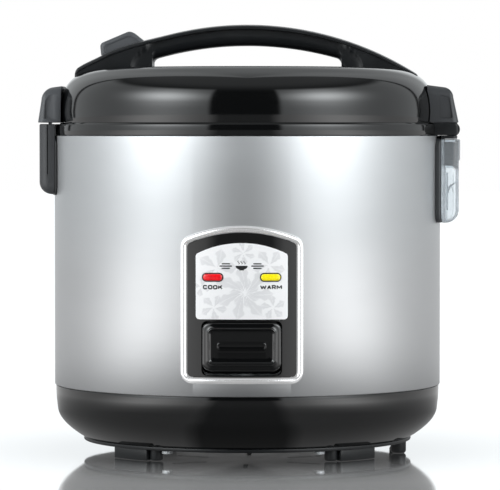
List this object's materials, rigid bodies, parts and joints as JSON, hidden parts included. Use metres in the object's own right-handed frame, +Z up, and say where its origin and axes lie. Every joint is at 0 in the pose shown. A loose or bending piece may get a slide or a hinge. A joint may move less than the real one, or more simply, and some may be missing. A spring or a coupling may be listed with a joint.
{
  "type": "rice cooker",
  "caption": "Round steel-jacketed rice cooker with a hinged lid, arched carrying handle, front cook switch and clear dew cup.",
  "frame": {"origin": "on the body's vertical axis, at the surface that the feet stand on", "axes": "+Z up; -Y towards the control panel; +X towards the lid's hinge, so the latch is at -X"},
  "size_m": [0.2714, 0.2554, 0.2756],
  "materials": {
    "steel": "fine satin stainless sheet, also used for the springs and pins",
    "black_gloss": "glossy moulded black",
    "black_satin": "satin moulded black with a fine moulded texture",
    "chrome": "bright plated frame",
    "aluminium": "satin cast or pressed aluminium",
    "nonstick": "aluminium under a dark speckled non-stick coat",
    "zinc_sheet": "bright zinc-plated sheet",
    "silver_label": "printed pearl-silver label",
    "red_lens": "translucent red",
    "amber_lens": "translucent yellow",
    "clear_plastic": "clear moulded cup",
    "silicone": "soft grey-white silicone",
    "brass": "plain brass",
    "board": "printed circuit board",
    "magnet": "sintered ferrite",
    "wire_white": "white silicone insulation"
  },
  "bodies": {
    "body": {"outer_jacket": "steel", "base_shell": "black_gloss", "bottom_plate": "black_satin", "base_screw_1": "zinc_sheet", "base_screw_2": "zinc_sheet", "base_screw_3": "zinc_sheet", "base_screw_4": "zinc_sheet", "upper_ring": "black_gloss", "heating_chamber": "zinc_sheet", "heating_plate": "aluminium", "heater_terminal_live": "brass", "heater_terminal_neutral": "brass", "thermostat_holder": "zinc_sheet", "sensor_spring": "steel", "lever_bracket": "zinc_sheet", "lever_pin": "steel", "lever_spring": "steel", "microswitch": "black_satin", "panel_frame": "chrome", "panel_body": "black_gloss", "panel_label": "silver_label", "cook_lens": "red_lens", "warm_lens": "amber_lens", "cook_lamp": "red_lens", "warm_lamp": "amber_lens", "lamp_board": "board", "inner_pot": "nonstick", "power_inlet": "black_satin", "inlet_pin_live": "brass", "inlet_pin_neutral": "brass", "thermal_fuse": "zinc_sheet", "live_lead": "wire_white", "neutral_lead": "wire_white", "heater_lead": "wire_white", "latch_plate": "black_satin", "latch_housing": "black_satin", "dew_bracket": "black_satin", "hinge_pin": "steel"},
    "lid": {"lid_shell": "black_gloss", "lid_handle": "black_satin", "latch_cover": "black_satin", "latch_pin": "steel", "lid_knuckle": "black_satin", "hinge_cover": "black_satin", "hinge_spring": "steel", "lid_liner": "black_satin", "inner_lid": "aluminium", "lid_gasket": "silicone", "lid_retainer": "silicone", "vent_seat": "silicone", "button_spring": "steel"},
    "button": {"release_button": "black_satin"},
    "latch": {"latch_lever": "zinc_sheet"},
    "vent": {"vent_cap": "black_satin"},
    "switch": {"switch_arm": "zinc_sheet", "switch_paddle": "black_gloss"},
    "magnet": {"lower_magnet": "magnet"},
    "sensor": {"sensor_cap": "aluminium", "sensor_ferrite": "magnet"},
    "dew_cup": {"dew_cup": "clear_plastic"}
  },
  "joints": [
    {"name": "lid_hinge", "type": "hinge", "parent": "body", "child": "lid", "pos_m": [0.1325, 0, 0.2078], "axis": [0, 1, 0], "range_deg": [0, 85], "stiffness_Nm_per_rad": 0.12, "springref_deg": 84.8},
    {"name": "button_press", "type": "slide", "parent": "lid", "child": "button", "axis": [0.3902, 0, -0.9207], "range_m": [0, 0.004], "stiffness_N_per_m": 600, "springref_m": -0.002, "deforming": ["button_spring"]},
    {"name": "latch_pivot", "type": "hinge", "parent": "lid", "child": "latch", "pos_m": [-0.122, 0, 0.228], "axis": [0, 1, 0], "range_deg": [0, 5.1]},
    {"name": "vent_cap_lift", "type": "slide", "parent": "lid", "child": "vent", "axis": [0, 0, 1], "range_m": [0, 0.03]},
    {"name": "switch_press", "type": "hinge", "parent": "body", "child": "switch", "pos_m": [0, -0.065, 0.034], "axis": [1, 0, 0], "range_deg": [0, 2.6], "stiffness_Nm_per_rad": 1, "springref_deg": -8.59, "deforming": ["lever_spring"]},
    {"name": "magnet_lift", "type": "slide", "parent": "body", "child": "magnet", "axis": [0, 0, 1], "range_m": [0, 0.003]},
    {"name": "sensor_press", "type": "slide", "parent": "body", "child": "sensor", "axis": [0, 0, -1], "range_m": [0, 0.002], "stiffness_N_per_m": 800, "springref_m": -0.004, "deforming": ["sensor_spring"]},
    {"name": "dew_cup_pull", "type": "slide", "parent": "body", "child": "dew_cup", "axis": [1, 0, 0], "range_m": [0, 0.03]}
  ],
  "couplings": [
    {"joint": "latch_pivot", "follows": "button_press", "rad_per_m": 22},
    {"joint": "magnet_lift", "follows": "switch_press", "m_per_rad": 0.065}
  ]
}
